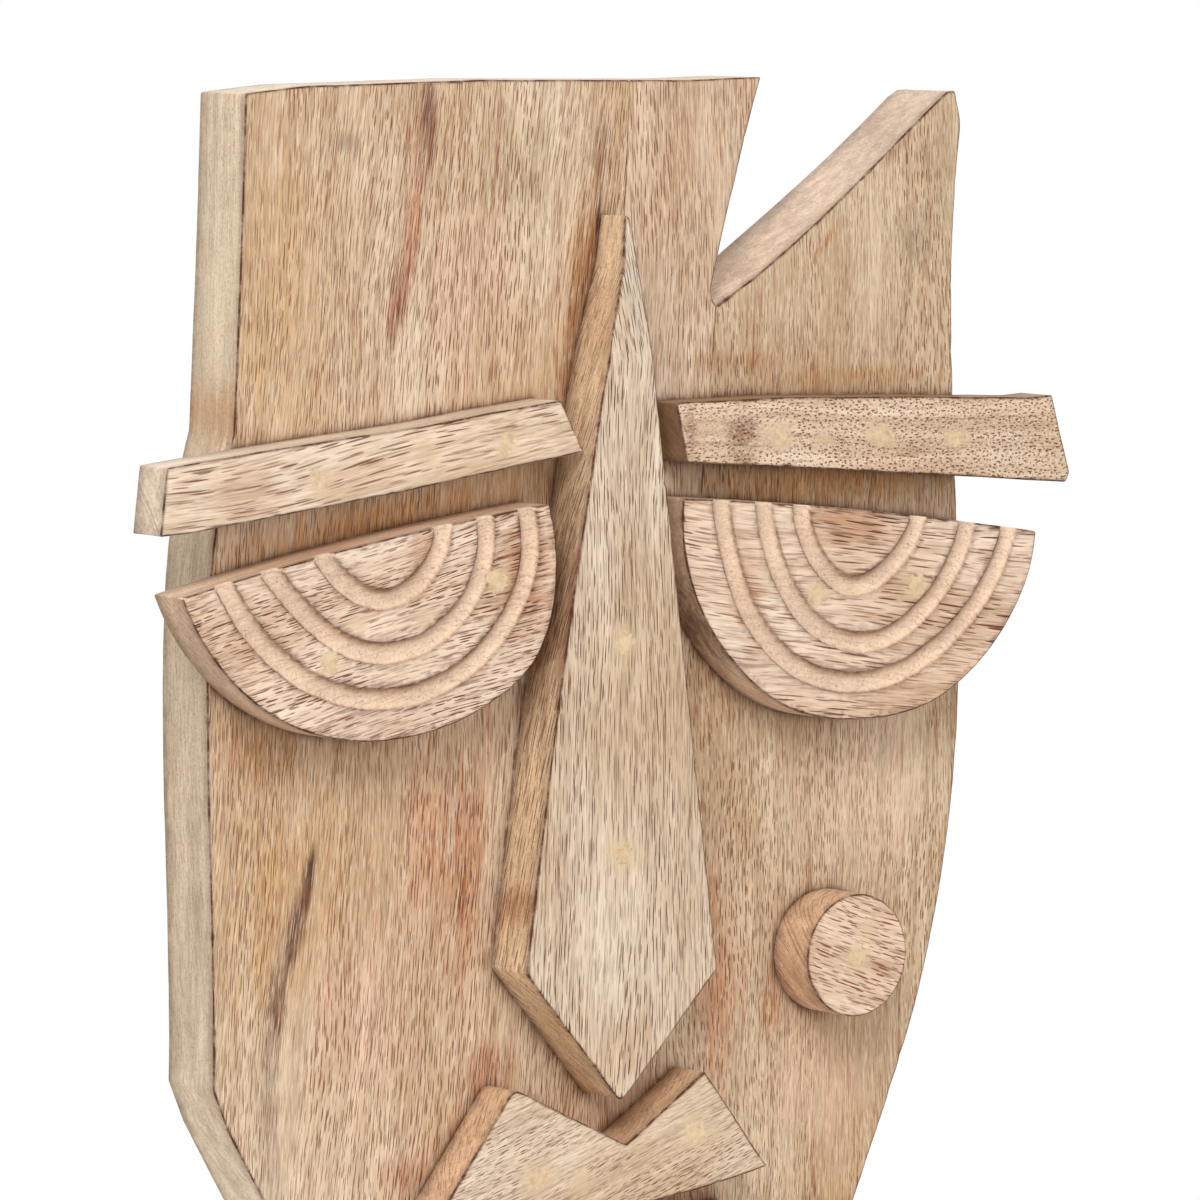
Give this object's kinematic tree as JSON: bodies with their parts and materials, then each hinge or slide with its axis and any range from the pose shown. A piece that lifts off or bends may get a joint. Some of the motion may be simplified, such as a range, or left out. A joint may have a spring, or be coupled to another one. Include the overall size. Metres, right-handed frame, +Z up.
{
  "type": "carved wooden mask",
  "caption": "Abstract wall mask of edge-glued pale boards with screwed-on carved brows, grooved half-disc eyes, kite nose, lips and cheek disc, hung by a swinging ring.",
  "frame": {"origin": "where the wall hook bears: X=0 and Z=0 at the inside top of the raised hanger ring, Y=0 in the wall plane that the bumpers touch", "axes": "+Z up, +Y into the wall, -Y the way the face looks, +X to the viewer's right"},
  "size_m": [0.3277, 0.0488, 0.4004],
  "materials": {
    "board_wood": "sanded and limed, matt",
    "feature_wood": "sanded, matt",
    "dowel_wood": "raw",
    "filler_putty": "matt",
    "screw_steel": "zinc plated",
    "hanger_steel": "nickel plated",
    "bumper_rubber": "matt"
  },
  "bodies": {
    "mask": {"board_left": "board_wood", "board_middle": "board_wood", "board_right": "board_wood", "brow_left": "feature_wood", "brow_right": "feature_wood", "eye_left": "feature_wood", "eye_right": "feature_wood", "nose": "feature_wood", "cheek_disc": "feature_wood", "upper_lip": "feature_wood", "lower_lip": "feature_wood", "dowels_left_joint": "dowel_wood", "dowels_right_joint": "dowel_wood", "brow_fillers": "filler_putty", "brow_screws": "screw_steel", "eye_fillers": "filler_putty", "eye_screws": "screw_steel", "nose_fillers": "filler_putty", "nose_screws": "screw_steel", "cheek_fillers": "filler_putty", "cheek_screws": "screw_steel", "lip_fillers": "filler_putty", "lip_screws": "screw_steel", "hanger_strap": "hanger_steel", "hanger_screws": "hanger_steel", "wall_bumpers": "bumper_rubber"},
    "ring": {"hanger_ring": "hanger_steel"}
  },
  "joints": [
    {"name": "hanger_ring_swing", "type": "hinge", "parent": "mask", "child": "ring", "pos_m": [0, -0.00298, -0.01296], "axis": [-1, 0, 0], "range_deg": [0, 180]}
  ]
}
